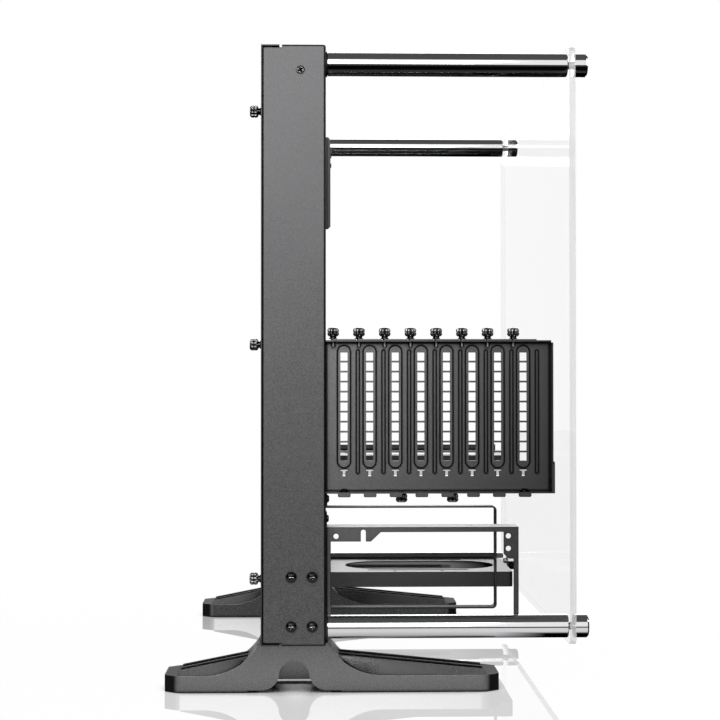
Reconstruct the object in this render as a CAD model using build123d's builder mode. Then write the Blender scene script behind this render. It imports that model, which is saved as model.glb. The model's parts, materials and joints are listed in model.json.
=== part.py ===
from build123d import *
import math
import os

os.makedirs("parts", exist_ok=True)

# Open air test bench: X runs from the rear cover to the window, Y along the chassis, Z up.
# All sizes are in millimetres.

# Overall reach, measured from the panel's front face
rear_reach = 128.0
front_reach = 138.2
window_gap = 192.0

# Folded tray and rear cover
chassis_length = 470.0
foot_height = 39.0
tray_height = 472.0
tray_depth = 50.0
sheet = 1.2
bend_radius = 2.0
lip_width = 14.0
lip_bend = 1.6
seam_gap = 1.0
cover_sheet = 1.0
cover_flange = 13.5
cover_end_gap = 0.5
joggle_gap = 2.0
joggle_drop = 2.4
cover_screw_spacing = 184.0
corner_tab_width = 20.0
corner_tab_height = 26.0
corner_screw_back = 20.0
corner_screw_drop = 20.0

# Posts, caps and window
post_diameter = 18.5
post_edge = 13.0
post_end_edge = 14.0
post_chamfer = 0.6
washer_diameter = 20.0
washer_thickness = 1.0
post_bolt_diameter = 6.0
post_bolt_grip = 14.0
post_bolt_head = 12.0
post_bolt_head_height = 3.5
stud_diameter = 6.0
stud_length = 12.0
stud_end_gap = 1.0
cap_length = 11.0
cap_chamfer = 1.2
window_thickness = 5.0
window_corner = 6.0
window_inset = 0.5

# Feet
foot_width = 50.0
foot_inset = 14.0
foot_arc_radius = 50.0
skirt_height = 13.3
pedestal_overhang = 1.6
deck_rise = 28.5
deck_tip_rise = 16.0
deck_width = 30.0
deck_ledge = 2.0
deck_groove_width = 10.5
deck_groove_depth = 0.8
deck_groove_end = 9.5
deck_rib = 3.5
tip_length = 12.0
tip_chamfer = 11.0
tip_chamfer_across = 8.0
tip_blend = 12.0
tip_corner = 1.5
arch_radius = 12.0
arch_flare = 14.0
arch_top = 25.0
sole_relief = 1.4
sole_relief_length = 74.0
foot_wall = 3.2
foot_pocket_height = 9.0
pad_inset = 9.0
pad_length = 26.0
pad_width = 30.0
pad_thickness = 2.3
pad_proud = 0.3
foot_screw_depth = 10.0
foot_screw_end_gap = 1.0
side_screw_spacing_x = 16.4
side_screw_spacing_z = 38.7
side_screw_drop = 34.4
side_screw_back = 18.9
foot_bracket_sheet = 2.0
foot_bracket_height = 66.0
foot_bracket_width = 28.0
foot_bracket_reach = 46.0

# Expansion slot bracket and its covers
slot_count = 8
slot_pitch = 20.32
first_slot = 14.4
bracket_end = 22.4
bracket_end_relief = 1.8
bracket_rise = 119.0
bracket_height = 120.5
bracket_setback = 11.5
bracket_flange = 11.0
end_tab_height = 25.0
end_tab_corner = 3.0
clinch_diameter = 3.2
clinch_height = 0.5
clinch_rise = 9.5
bracket_foot = 9.0
bracket_foot_drop = 10.0
slot_window_width = 11.4
slot_window_length = 98.0
slot_window_drop = 3.4
slot_pad_gap = 1.2
cover_plate = 0.9
cover_plate_width = 18.4
cover_plate_drop = 103.5
cover_tongue_width = 3.0
cover_tongue_length = 3.2
vent_width = 5.6
vent_height = 6.4
vent_pitch = 7.93
vent_count = 11
bead_width = 3.5
bead_groove = 1.0
bead_length = 99.0
bead_depth = 0.7
bead_offset = 11.0
bead_drop = 7.0
tongue_slot_width = 5.9
tongue_slot_height = 1.8
tongue_stem_width = 2.3
tongue_stem_height = 5.0
tongue_drop = 102.5
edge_tab_width = 10.0
edge_tab_height = 2.8
edge_tab_corner = 1.2
thumbscrew_offset = 8.6
under_thumb_reach = (59.7, 100.0)
under_thumb_gap = 0.5

# Power supply bracket and hoop
supply_width = 150.0
supply_height = 86.0
supply_clearance = 0.3
supply_side_gap = 1.2
supply_sheet = 1.0
supply_setback = 24.0
supply_band = 24.0
supply_rise = 2.0
supply_lip = 4.0
supply_hole_inset = 6.0
supply_hole_diameter = 4.2
supply_ear_width = 28.0
supply_ear_height = 11.5
supply_spare_hole_drop = 10.0
hoop_setback = 190.0
hoop_band = 12.0
hoop_sheet = 1.5
hoop_height = 92.4
hoop_corner = 4.0
hoop_foot = 12.0

# Drive trays
drive_tray_gap = 16.0
drive_tray_width = 112.0
drive_tray_start = 1.0
drive_tray_rise = 28.5
drive_tray_spacing = 109.0
drive_tray_flange = 14.0
drive_tray_upstand = 5.5
drive_window_length = 144.0
drive_window_width = 64.0
drive_window_shift = 3.5
drive_hole_x = 44.45
drive_hole_y = 95.25
drive_hole_diameter = 3.5
drive_slot_length = 96.0
drive_slot_width = 5.0

# Switch and socket bezel
bezel_inset = 40.0
bezel_width = 15.0
bezel_height = 96.0
bezel_drop = 7.0
bezel_proud = 6.0
bezel_bevel = 2.5
power_diameter = 11.0
reset_diameter = 5.0
button_clearance = 0.25
button_proud = 1.0
button_travel = 1.5
button_stem = 3.4
switch_width = 6.0
switch_height = 3.5
switch_plunger = 3.0
switch_plunger_height = 1.0
usb_width = 5.6
usb_height = 13.2
usb_wall = 0.5
usb_depth = 9.0
usb_tongue = 1.8
usb_tongue_offset = 0.9
jack_diameter = 6.4
jack_bore = 3.5
board_sheet = 1.6
board_gap = 9.0
board_pillar = 3.0
power_drop = 16.0
reset_drop = 29.0
usb_drops = (43.0, 60.0)
jack_drops = (73.5, 83.0)

# Motherboard seat
board_drop = 23.0
board_end_edge = 15.0
board_hole_diameter = 3.1
board_rows = (6.35, 163.83, 288.29)
board_columns = (10.16, 165.10, 237.49)
board_first_corner = 33.02
processor_window = (118.0, 122.0)
processor_window_corner = 12.0

# Cable openings in the panel
cable_slot_width = 24.0
cable_slot_length = 92.0
cable_column_inset = 110.0
cable_column_pitch = 118.0
cable_column_rise = 183.0
supply_cable_gap = 25.0
supply_cable_rise = 49.0
supply_cable_length = 62.0

# Screws
screw_clearance = 0.1
thumb_shank = 3.5
thumb_shank_length = 6.0
thumb_neck = 6.6
thumb_neck_height = 2.2
low_thumb_shank = 1.8
low_thumb_neck = 0.4
thumb_head = 9.6
thumb_head_height = 6.7
thumb_bevel_low = 1.3
thumb_bevel_high = 1.7
pan_head = 8.0
pan_head_height = 2.2
pan_shank = 4.0
corner_head = 6.8
corner_head_height = 0.55
small_head = 6.0
small_head_height = 2.0
small_shank = 3.0
small_shank_length = 4.0
bracket_head_height = 3.0
nut_flats = 6.0
nut_height = 2.4
head_rim = 0.35

# Places that follow from the sizes above
post_reach = window_gap + window_thickness + cap_length
panel_front = (rear_reach - post_reach) / 2
panel_back = panel_front - sheet
tray_rear = panel_front - tray_depth
tray_bottom = foot_height
tray_top = tray_bottom + tray_height
tray_middle = (tray_bottom + tray_top) / 2
tray_centre_x = panel_front - tray_depth / 2
half_length = chassis_length / 2
post_y = half_length - post_end_edge
post_spacing_z = tray_height - 2 * post_edge
window_back = panel_front + window_gap
window_front = window_back + window_thickness
cover_back = tray_rear - cover_sheet
joggle_length = cover_flange + joggle_gap
cover_screw_y = half_length - lip_width / 2
foot_y = half_length - foot_inset - foot_width / 2
side_screw_x = panel_front - side_screw_back
side_screw_z = tray_bottom + side_screw_drop
corner_screw_x = panel_front - corner_screw_back
corner_screw_z = tray_top - corner_screw_drop
bracket_bottom = tray_bottom + bracket_rise
bracket_top = bracket_bottom + bracket_height
bracket_face = -half_length + bracket_setback
bracket_inner = bracket_face + sheet
bracket_reach = first_slot + (slot_count - 1) * slot_pitch + bracket_end
slot_xs = [panel_front + first_slot + k * slot_pitch for k in range(slot_count)]
bracket_foot_y = bracket_inner + bracket_foot / 2
bracket_foot_screws = (bracket_bottom - bracket_foot_drop / 2, bracket_top - bracket_foot_drop)
supply_face = -half_length + supply_setback
supply_outer_x = panel_front + supply_width + 2 * supply_side_gap + 2 * supply_sheet
supply_outer_height = supply_height + 2 * supply_clearance + 2 * supply_sheet
supply_bottom = tray_bottom + supply_rise
supply_top = supply_bottom + supply_outer_height
supply_hole_z = supply_bottom + supply_sheet + supply_clearance + supply_height - supply_hole_inset
supply_hole_x = panel_front + supply_sheet + supply_side_gap + supply_hole_inset
supply_hole_span = supply_width - 2 * supply_hole_inset
supply_foot_y = supply_face + supply_band / 2
hoop_y = -half_length + hoop_setback
hoop_outer_x = supply_outer_x - supply_sheet + hoop_sheet
hoop_bottom = supply_bottom + supply_sheet + supply_clearance - hoop_sheet
hoop_top = hoop_bottom + hoop_height
drive_tray_reach = window_gap - drive_tray_gap
drive_tray_top = tray_bottom + drive_tray_rise
drive_tray_y = drive_tray_start + drive_tray_width / 2
drive_tray_tops = (drive_tray_top, drive_tray_top + drive_tray_spacing)
drive_screw_ys = (drive_tray_y - drive_tray_width / 4, drive_tray_y + drive_tray_width / 4)
bezel_y = half_length - bezel_inset
bezel_top = tray_top - bezel_drop
bezel_bottom = bezel_top - bezel_height
bezel_middle = (bezel_bottom + bezel_top) / 2
bezel_front = panel_front + bezel_proud
power_z = bezel_top - power_drop
reset_z = bezel_top - reset_drop
usb_zs = [bezel_top - drop for drop in usb_drops]
jack_zs = [bezel_top - drop for drop in jack_drops]
board_front = panel_back - board_gap
board_rear_edge = -half_length + board_end_edge
board_top = tray_top - board_drop
board_holes = [
    (board_rear_edge + column, board_top - row)
    for row in board_rows
    for column in board_columns
    if (row, column) != (board_rows[0], board_columns[0])
]
board_holes.append((board_rear_edge + board_first_corner, board_top - board_rows[0]))
processor_y = board_rear_edge + (board_columns[0] + board_columns[1]) / 2
processor_z = board_top - (board_rows[0] + board_rows[1]) / 2
cable_column_y = half_length - cable_column_inset
cable_zs = [tray_bottom + cable_column_rise + k * cable_column_pitch for k in range(2)]
supply_cable_y = hoop_y + supply_cable_gap
supply_cable_z = tray_bottom + supply_cable_rise
thumb_hole = (thumb_shank + screw_clearance) / 2
small_hole = (small_shank + screw_clearance) / 2
pan_hole = (pan_shank + screw_clearance) / 2
post_bolt_hole = (post_bolt_diameter + screw_clearance) / 2
panel_screws = [(bracket_foot_y, z) for z in bracket_foot_screws]
panel_screws += [(supply_foot_y, supply_top + hoop_foot / 2)]
panel_screws += [(hoop_y, hoop_top + hoop_foot / 2)]
panel_screws += [(y, top - drive_tray_flange / 2) for y in drive_screw_ys for top in drive_tray_tops]

# Main panel: a shallow tray folded from one sheet, open to the rear
with BuildPart() as main_panel:
    with BuildSketch(Plane.YZ.offset(tray_rear)):
        with Locations((0, tray_middle)):
            Rectangle(chassis_length, tray_height)
    extrude(amount=tray_depth)
    fillet(main_panel.faces().sort_by(Axis.X)[-1].edges(), bend_radius)
    offset(amount=-sheet, openings=main_panel.faces().sort_by(Axis.X)[0])
    # Lips along both ends take the cover's thumbscrews
    with BuildSketch(Plane.YZ.offset(tray_rear)):
        with GridLocations(chassis_length - lip_width, 0, 2, 1):
            with Locations((0, tray_middle)):
                Rectangle(lip_width, tray_height)
    extrude(amount=sheet)
    rear_edges = main_panel.edges().filter_by(Axis.Z).group_by(Axis.X)[0].group_by(Axis.Y)
    fillet(rear_edges[0] + rear_edges[-1], lip_bend)
    # Joggles along the top and bottom walls take the cover's flanges, with open seams at the end walls
    for wall_z, inward in ((tray_top, -1), (tray_bottom, 1)):
        with BuildSketch(Plane.XZ):
            with Locations((tray_rear + joggle_length / 2, wall_z + inward * joggle_drop / 2)):
                Rectangle(joggle_length, joggle_drop)
        extrude(amount=half_length, both=True, mode=Mode.SUBTRACT)
        step_depth = joggle_drop + sheet
        with BuildSketch(Plane.XZ):
            with Locations((tray_rear + joggle_length / 2, wall_z + inward * (step_depth - sheet / 2))):
                Rectangle(joggle_length, sheet)
            with Locations((tray_rear + joggle_length + sheet / 2, wall_z + inward * step_depth / 2)):
                Rectangle(sheet, step_depth)
        extrude(amount=half_length - sheet / 2, both=True)
        for wall_y, depth in ((half_length, -sheet), (-half_length, sheet)):
            with BuildSketch(Plane.XZ.offset(wall_y)):
                with Locations((tray_centre_x, wall_z + inward * seam_gap / 2)):
                    Rectangle(tray_depth, seam_gap)
            extrude(amount=depth, mode=Mode.SUBTRACT)
    with BuildSketch(Plane.YZ.offset(tray_rear)):
        with Locations((0, tray_middle)):
            with GridLocations(2 * cover_screw_y, cover_screw_spacing, 2, 3):
                Circle(thumb_hole)
    extrude(amount=sheet, mode=Mode.SUBTRACT)
    # Corner tabs folded down from the top wall inside both end walls
    with BuildSketch(Plane.XY.offset(tray_top - sheet)):
        with Locations((corner_screw_x, 0)):
            with GridLocations(0, chassis_length - 3 * sheet, 1, 2):
                Rectangle(corner_tab_width, sheet)
    extrude(amount=-corner_tab_height)
    # Screw holes through both end walls
    with BuildSketch(Plane.XZ):
        with Locations((side_screw_x, side_screw_z)):
            with GridLocations(side_screw_spacing_x, side_screw_spacing_z, 2, 2):
                Circle(pan_hole)
        with Locations((corner_screw_x, corner_screw_z)):
            Circle(small_hole)
    extrude(amount=half_length, both=True, mode=Mode.SUBTRACT)
    # Holes in the bottom wall for the screws that go down into the feet
    with BuildSketch(Plane.XY.offset(tray_bottom)):
        with Locations((side_screw_x, 0)):
            with GridLocations(side_screw_spacing_x, 2 * foot_y, 2, 2):
                Circle(pan_hole)
    extrude(amount=sheet, mode=Mode.SUBTRACT)
    # Holes and openings in the front of the panel
    with BuildSketch(Plane.YZ.offset(panel_back)):
        with Locations((0, tray_middle)):
            with GridLocations(2 * post_y, post_spacing_z, 2, 2):
                Circle(post_bolt_hole)
        with Locations((processor_y, processor_z)):
            RectangleRounded(processor_window[0], processor_window[1], processor_window_corner)
        with Locations([(cable_column_y, z) for z in cable_zs]):
            SlotOverall(cable_slot_length, cable_slot_width, rotation=90)
        with Locations((supply_cable_y, supply_cable_z)):
            SlotOverall(supply_cable_length, cable_slot_width, rotation=90)
        with Locations(board_holes):
            Circle(board_hole_diameter / 2)
        with Locations(panel_screws):
            Circle(small_hole)
        with Locations((bezel_y, bezel_middle)):
            Rectangle(bezel_width - 2 * bezel_bevel, bezel_height - 4 * bezel_bevel)
    extrude(amount=sheet, mode=Mode.SUBTRACT)
main_panel.part.label = "main_panel"
export_step(main_panel.part, "parts/main_panel.step")

# Rear cover: sheet with flanges folded forward into the tray's joggles
with BuildPart() as rear_cover:
    with BuildSketch(Plane.XZ):
        with Locations(((cover_back + tray_rear + cover_flange) / 2, tray_middle)):
            Rectangle(cover_sheet + cover_flange, tray_height)
        with Locations((tray_rear + cover_flange / 2, tray_middle)):
            Rectangle(cover_flange, tray_height - 2 * cover_sheet, mode=Mode.SUBTRACT)
    extrude(amount=half_length - cover_end_gap, both=True)
    fillet(rear_cover.edges().filter_by(Axis.Y).group_by(Axis.X)[0], cover_sheet / 2)
    with BuildSketch(Plane.YZ.offset(cover_back)):
        with Locations((0, tray_middle)):
            with GridLocations(2 * cover_screw_y, cover_screw_spacing, 2, 3):
                Circle(thumb_hole)
    extrude(amount=cover_sheet, mode=Mode.SUBTRACT)
rear_cover.part.label = "rear_cover"
export_step(rear_cover.part, "parts/rear_cover.step")


# Thumbscrew turned about Z, seated at Z zero with its head up
def knurled_screw(neck_height, shank_length):
    with BuildPart() as screw:
        with BuildSketch(Plane.XZ):
            with BuildLine():
                Polyline(
                    (0, -shank_length),
                    (thumb_shank / 2, -shank_length),
                    (thumb_shank / 2, 0),
                    (thumb_neck / 2, 0),
                    (thumb_neck / 2, neck_height),
                    (thumb_head / 2, neck_height + thumb_bevel_low),
                    (thumb_head / 2, neck_height + thumb_head_height - thumb_bevel_high),
                    (thumb_neck / 2, neck_height + thumb_head_height),
                    (0, neck_height + thumb_head_height),
                    close=True,
                )
            make_face()
        revolve(axis=Axis.Z)
    return screw.part


thumbscrew = knurled_screw(thumb_neck_height, thumb_shank_length)
low_thumbscrew = knurled_screw(low_thumb_neck, low_thumb_shank)

with BuildPart() as cover_thumbscrews:
    for y in (-cover_screw_y, cover_screw_y):
        for step in (-1, 0, 1):
            z = tray_middle + step * cover_screw_spacing
            with Locations(Location((cover_back, y, z), (0, -90, 0))):
                add(thumbscrew)
cover_thumbscrews.part.label = "cover_thumbscrews"
export_step(cover_thumbscrews.part, "parts/cover_thumbscrews.step")


# Screw with a domed head, turned about Z, seated at Z zero with its head up
def domed_screw(head, head_height, shank, length):
    with BuildPart() as screw:
        with BuildSketch(Plane.XZ):
            with BuildLine():
                Polyline(
                    (0, head_height),
                    (0, -length),
                    (shank / 2, -length),
                    (shank / 2, 0),
                    (head / 2, 0),
                    (head / 2, head_height * head_rim),
                )
                TangentArc((0, head_height), (head / 2, head_height * head_rim), tangent=(1, 0))
            make_face()
        revolve(axis=Axis.Z)
    return screw.part


small_screw = domed_screw(small_head, small_head_height, small_shank, small_shank_length)
bracket_screw = domed_screw(pan_head, bracket_head_height, small_shank, small_shank_length)
pan_screw = domed_screw(pan_head, pan_head_height, pan_shank, sheet + foot_bracket_sheet)
post_bolt_length = sheet + washer_thickness + post_bolt_grip
post_bolt = domed_screw(post_bolt_head, post_bolt_head_height, post_bolt_diameter, post_bolt_length)

# Posts, their washers, bolts and caps
corners = [
    ("left", "lower", -post_y, tray_bottom + post_edge),
    ("left", "upper", -post_y, tray_top - post_edge),
    ("right", "lower", post_y, tray_bottom + post_edge),
    ("right", "upper", post_y, tray_top - post_edge),
]
post_base = panel_front + washer_thickness
stud_hole = (stud_diameter + screw_clearance) / 2
for side, level, y, z in corners:
    with BuildPart() as post:
        with BuildSketch(Plane((post_base, y, z), x_dir=(0, 1, 0), z_dir=(1, 0, 0))):
            Circle(post_diameter / 2)
        extrude(amount=window_back - post_base)
        chamfer(post.edges().filter_by(GeomType.CIRCLE), post_chamfer)
        with BuildSketch(Plane((post_base, y, z), x_dir=(0, 1, 0), z_dir=(1, 0, 0))):
            Circle(post_bolt_hole)
        extrude(amount=post_bolt_grip + screw_clearance, mode=Mode.SUBTRACT)
        with BuildSketch(Plane((window_back, y, z), x_dir=(0, 1, 0), z_dir=(1, 0, 0))):
            Circle(stud_hole)
        extrude(amount=-stud_length, mode=Mode.SUBTRACT)
    post.part.label = f"{side}_{level}_post"
    export_step(post.part, f"parts/{side}_{level}_post.step")

    with BuildPart() as cap:
        with BuildSketch(Plane((window_front, y, z), x_dir=(0, 1, 0), z_dir=(1, 0, 0))):
            Circle(post_diameter / 2)
        extrude(amount=cap_length)
        chamfer(cap.edges().filter_by(GeomType.CIRCLE).sort_by(Axis.X)[-1], cap_chamfer)
        with BuildSketch(Plane((window_front, y, z), x_dir=(0, 1, 0), z_dir=(1, 0, 0))):
            Circle(stud_diameter / 2)
        extrude(amount=stud_end_gap - window_thickness - stud_length)
    cap.part.label = f"{side}_{level}_cap"
    export_step(cap.part, f"parts/{side}_{level}_cap.step")

with BuildPart() as post_washers:
    with BuildSketch(Plane.YZ.offset(panel_front)):
        with Locations((0, tray_middle)):
            with GridLocations(2 * post_y, post_spacing_z, 2, 2):
                Circle(washer_diameter / 2)
                Circle(post_bolt_hole, mode=Mode.SUBTRACT)
    extrude(amount=washer_thickness)
post_washers.part.label = "post_washers"
export_step(post_washers.part, "parts/post_washers.step")

with BuildPart() as post_bolts:
    for side, level, y, z in corners:
        with Locations(Location((panel_back, y, z), (0, -90, 0))):
            add(post_bolt)
post_bolts.part.label = "post_bolts"
export_step(post_bolts.part, "parts/post_bolts.step")

# Window: clear sheet with rounded corners, clamped between the posts and their caps
with BuildPart() as window_panel:
    with BuildSketch(Plane.YZ.offset(window_back)):
        with Locations((0, tray_middle)):
            RectangleRounded(chassis_length - 2 * window_inset, tray_height, window_corner)
            with GridLocations(2 * post_y, post_spacing_z, 2, 2):
                Circle(stud_hole, mode=Mode.SUBTRACT)
    extrude(amount=window_thickness)
window_panel.part.label = "window_panel"
export_step(window_panel.part, "parts/window_panel.step")

# Feet: moulded wings with concave pedestals, sloped decks and an arch underneath
pedestal_rear = cover_back - pedestal_overhang
pedestal_front = panel_front + pedestal_overhang
rear_tip = panel_front - rear_reach
front_tip = panel_front + front_reach
arc_rise = foot_height - skirt_height
arc_run = (2 * foot_arc_radius * arc_rise - arc_rise**2) ** 0.5
foot_sole = pad_proud + sole_relief
arch_middle = arch_top - arch_radius
arch_tilt = math.asin((arch_flare - arch_middle + foot_sole) / (arch_radius + arch_flare))
arch_half = (arch_radius + arch_flare) * math.cos(arch_tilt)
arch_shoulder_x = arch_radius * math.cos(arch_tilt)
arch_shoulder_z = arch_middle + arch_radius * math.sin(arch_tilt)
pad_recess = pad_thickness - pad_proud
pad_xs = (rear_tip + pad_inset + pad_length / 2, front_tip - pad_inset - pad_length / 2)
deck_groove_shift = (deck_groove_width + deck_rib) / 2
pocket_rear = pad_xs[0] + pad_length / 2 + foot_wall
pocket_front = pad_xs[1] - pad_length / 2 - foot_wall
pocket_ends = (
    (pocket_rear, tray_centre_x - arch_half - foot_wall),
    (tray_centre_x + arch_half + foot_wall, pocket_front),
)

for side, y in (("left", -foot_y), ("right", foot_y)):
    out = 1 if y > 0 else -1
    with BuildPart() as foot:
        # Side profile with both concave arcs running tangent into the flat skirts
        with BuildSketch(Plane.XZ.offset(-y)):
            with BuildLine():
                Polyline(
                    (pedestal_rear - arc_run, skirt_height),
                    (rear_tip, skirt_height),
                    (rear_tip, pad_proud),
                    (front_tip, pad_proud),
                    (front_tip, skirt_height),
                    (pedestal_front + arc_run, skirt_height),
                )
                arc_end = (pedestal_front, foot_height)
                TangentArc((pedestal_front + arc_run, skirt_height), arc_end, tangent=(-1, 0))
                Line((pedestal_front, foot_height), (pedestal_rear, foot_height))
                arc_end = (pedestal_rear, foot_height)
                TangentArc((pedestal_rear - arc_run, skirt_height), arc_end, tangent=(1, 0))
            make_face()
        extrude(amount=foot_width / 2, both=True)
        # Corners of both tips cut off and blended into the long sides
        for end in (0, -1):
            end_face = foot.faces().sort_by(Axis.X)[end]
            corner_edges = end_face.edges().filter_by(Axis.Z)
            chamfer(corner_edges, tip_chamfer_across, tip_chamfer, reference=end_face)
        tips = foot.edges().filter_by(Axis.Z).group_by(Axis.X)
        fillet(tips[1] + tips[-2], tip_blend)
        tips = foot.edges().filter_by(Axis.Z).group_by(Axis.X)
        fillet(tips[0] + tips[-1], tip_corner)
        # Decks with bevelled flanks slope from each tip up to the pedestal, with two shallow grooves each
        for tip_end, root, outward in (
            (rear_tip + tip_length, pedestal_rear, -1),
            (front_tip - tip_length, pedestal_front, 1),
        ):
            for x, rise in ((tip_end, deck_tip_rise), (root, deck_rise)):
                with BuildSketch(Plane((x, y, 0), x_dir=(0, 1, 0), z_dir=(1, 0, 0))):
                    with BuildLine():
                        Polyline(
                            (deck_ledge - foot_width / 2, skirt_height),
                            (foot_width / 2 - deck_ledge, skirt_height),
                            (deck_width / 2, rise),
                            (-deck_width / 2, rise),
                            close=True,
                        )
                    make_face()
            loft()
            deck_slope = (deck_rise - deck_tip_rise) / abs(root - tip_end)
            groove_root = (root + outward * deck_groove_end, deck_rise - deck_slope * deck_groove_end)
            for shift in (-deck_groove_shift, deck_groove_shift):
                for x, rise in ((tip_end, deck_tip_rise), groove_root):
                    with BuildSketch(Plane((x, y + shift, rise), x_dir=(0, 1, 0), z_dir=(1, 0, 0))):
                        Rectangle(deck_groove_width, 2 * deck_groove_depth)
                loft(mode=Mode.SUBTRACT)
        # Arch in the outer side, flaring out to the sole and closed by the inner wall
        with BuildSketch(Plane.XZ.offset(-y - out * foot_width / 2)):
            with BuildLine():
                left_end = (tray_centre_x - arch_half, foot_sole)
                left_shoulder = (tray_centre_x - arch_shoulder_x, arch_shoulder_z)
                right_shoulder = (tray_centre_x + arch_shoulder_x, arch_shoulder_z)
                right_end = (tray_centre_x + arch_half, foot_sole)
                Polyline(left_end, (left_end[0], 0), (right_end[0], 0), right_end)
                TangentArc(left_end, left_shoulder, tangent=(1, 0))
                ThreePointArc(left_shoulder, (tray_centre_x, arch_top), right_shoulder)
                TangentArc(right_end, right_shoulder, tangent=(-1, 0))
            make_face()
        extrude(amount=out * (foot_width - foot_wall), mode=Mode.SUBTRACT)
        with BuildSketch(Plane.XZ.offset(-y)):
            with Locations((tray_centre_x, foot_sole / 2)):
                Rectangle(sole_relief_length, foot_sole)
        extrude(amount=foot_width / 2, both=True, mode=Mode.SUBTRACT)
        # Hollows in the underside, pad recesses and the screw holes from above
        with BuildSketch(Plane.XY.offset(pad_proud)):
            for start, end in pocket_ends:
                with Locations(((start + end) / 2, y)):
                    Rectangle(end - start, foot_width - 2 * foot_wall)
        extrude(amount=foot_pocket_height - pad_proud, mode=Mode.SUBTRACT)
        with BuildSketch(Plane.XY.offset(pad_proud)):
            with Locations([(x, y) for x in pad_xs]):
                Rectangle(pad_length, pad_width)
        extrude(amount=pad_recess, mode=Mode.SUBTRACT)
        with BuildSketch(Plane.XY.offset(foot_height)):
            with Locations((side_screw_x, y)):
                with GridLocations(side_screw_spacing_x, 0, 2, 1):
                    Circle(pan_hole)
        extrude(amount=-foot_screw_depth, mode=Mode.SUBTRACT)
    foot.part.label = f"{side}_foot"
    export_step(foot.part, f"parts/{side}_foot.step")

    # Bracket inside the tray that ties the foot to the end wall
    wall_y = out * (half_length - sheet)
    with BuildPart() as foot_bracket:
        with BuildSketch(Plane.YZ.offset(side_screw_x)):
            with BuildLine():
                Polyline(
                    (wall_y, tray_bottom + sheet),
                    (wall_y, tray_bottom + sheet + foot_bracket_height),
                    (wall_y - out * foot_bracket_sheet, tray_bottom + sheet + foot_bracket_height),
                    (wall_y - out * foot_bracket_sheet, tray_bottom + sheet + foot_bracket_sheet),
                    (wall_y - out * foot_bracket_reach, tray_bottom + sheet + foot_bracket_sheet),
                    (wall_y - out * foot_bracket_reach, tray_bottom + sheet),
                    close=True,
                )
            make_face()
        extrude(amount=foot_bracket_width / 2, both=True)
        with BuildSketch(Plane.XZ):
            with Locations((side_screw_x, side_screw_z)):
                with GridLocations(side_screw_spacing_x, side_screw_spacing_z, 2, 2):
                    Circle(pan_hole)
        extrude(amount=half_length, both=True, mode=Mode.SUBTRACT)
        with BuildSketch(Plane.XY.offset(tray_bottom)):
            with Locations((side_screw_x, y)):
                with GridLocations(side_screw_spacing_x, 0, 2, 1):
                    Circle(pan_hole)
        extrude(amount=sheet + foot_bracket_sheet, mode=Mode.SUBTRACT)
    foot_bracket.part.label = f"{side}_foot_bracket"
    export_step(foot_bracket.part, f"parts/{side}_foot_bracket.step")

# Rubber pads in the soles
with BuildPart() as foot_pads:
    with BuildSketch(Plane.XY):
        with Locations([(x, y) for x in pad_xs for y in (-foot_y, foot_y)]):
            RectangleRounded(pad_length - screw_clearance, pad_width - screw_clearance, foot_wall)
    extrude(amount=pad_thickness)
foot_pads.part.label = "foot_pads"
export_step(foot_pads.part, "parts/foot_pads.step")

foot_screw = domed_screw(
    pan_head, pan_head_height, pan_shank, sheet + foot_bracket_sheet + foot_screw_depth - foot_screw_end_gap
)
corner_screw = domed_screw(corner_head, corner_head_height, small_shank, 2 * sheet)
side_columns = (side_screw_x - side_screw_spacing_x / 2, side_screw_x + side_screw_spacing_x / 2)
side_rows = (side_screw_z - side_screw_spacing_z / 2, side_screw_z + side_screw_spacing_z / 2)
end_walls = ((-half_length, 90), (half_length, -90))

with BuildPart() as foot_side_screws:
    for wall, turn in end_walls:
        with Locations([Location((x, wall, z), (turn, 0, 0)) for x in side_columns for z in side_rows]):
            add(pan_screw)
foot_side_screws.part.label = "foot_side_screws"
export_step(foot_side_screws.part, "parts/foot_side_screws.step")

with BuildPart() as foot_bottom_screws:
    seat = tray_bottom + sheet + foot_bracket_sheet
    with Locations([(x, y, seat) for x in side_columns for y in (-foot_y, foot_y)]):
        add(foot_screw)
foot_bottom_screws.part.label = "foot_bottom_screws"
export_step(foot_bottom_screws.part, "parts/foot_bottom_screws.step")

with BuildPart() as corner_screws:
    for wall, turn in end_walls:
        with Locations(Location((corner_screw_x, wall, corner_screw_z), (turn, 0, 0))):
            add(corner_screw)
corner_screws.part.label = "corner_screws"
export_step(corner_screws.part, "parts/corner_screws.step")

# Expansion slot bracket: a plate across the near end with flanges folded outwards on three sides
bracket_right = panel_front + bracket_reach
bracket_centre_x = panel_front + bracket_reach / 2
bracket_centre_z = (bracket_bottom + bracket_top) / 2
bracket_flange_y = bracket_face - bracket_flange / 2
bracket_edge_y = bracket_face - bracket_flange
slot_window_z = bracket_top - slot_window_drop - slot_window_length / 2
bead_z = bracket_top - bead_drop - bead_length / 2
tongue_z = bracket_top - tongue_drop
thumb_xs = [x - thumbscrew_offset for x in slot_xs]
under_thumb_xs = [panel_front + reach for reach in under_thumb_reach]
under_thumb_y = bracket_edge_y + sheet + thumb_head / 2 + under_thumb_gap
under_screw_xs = (slot_xs[0], slot_xs[-1])

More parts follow.
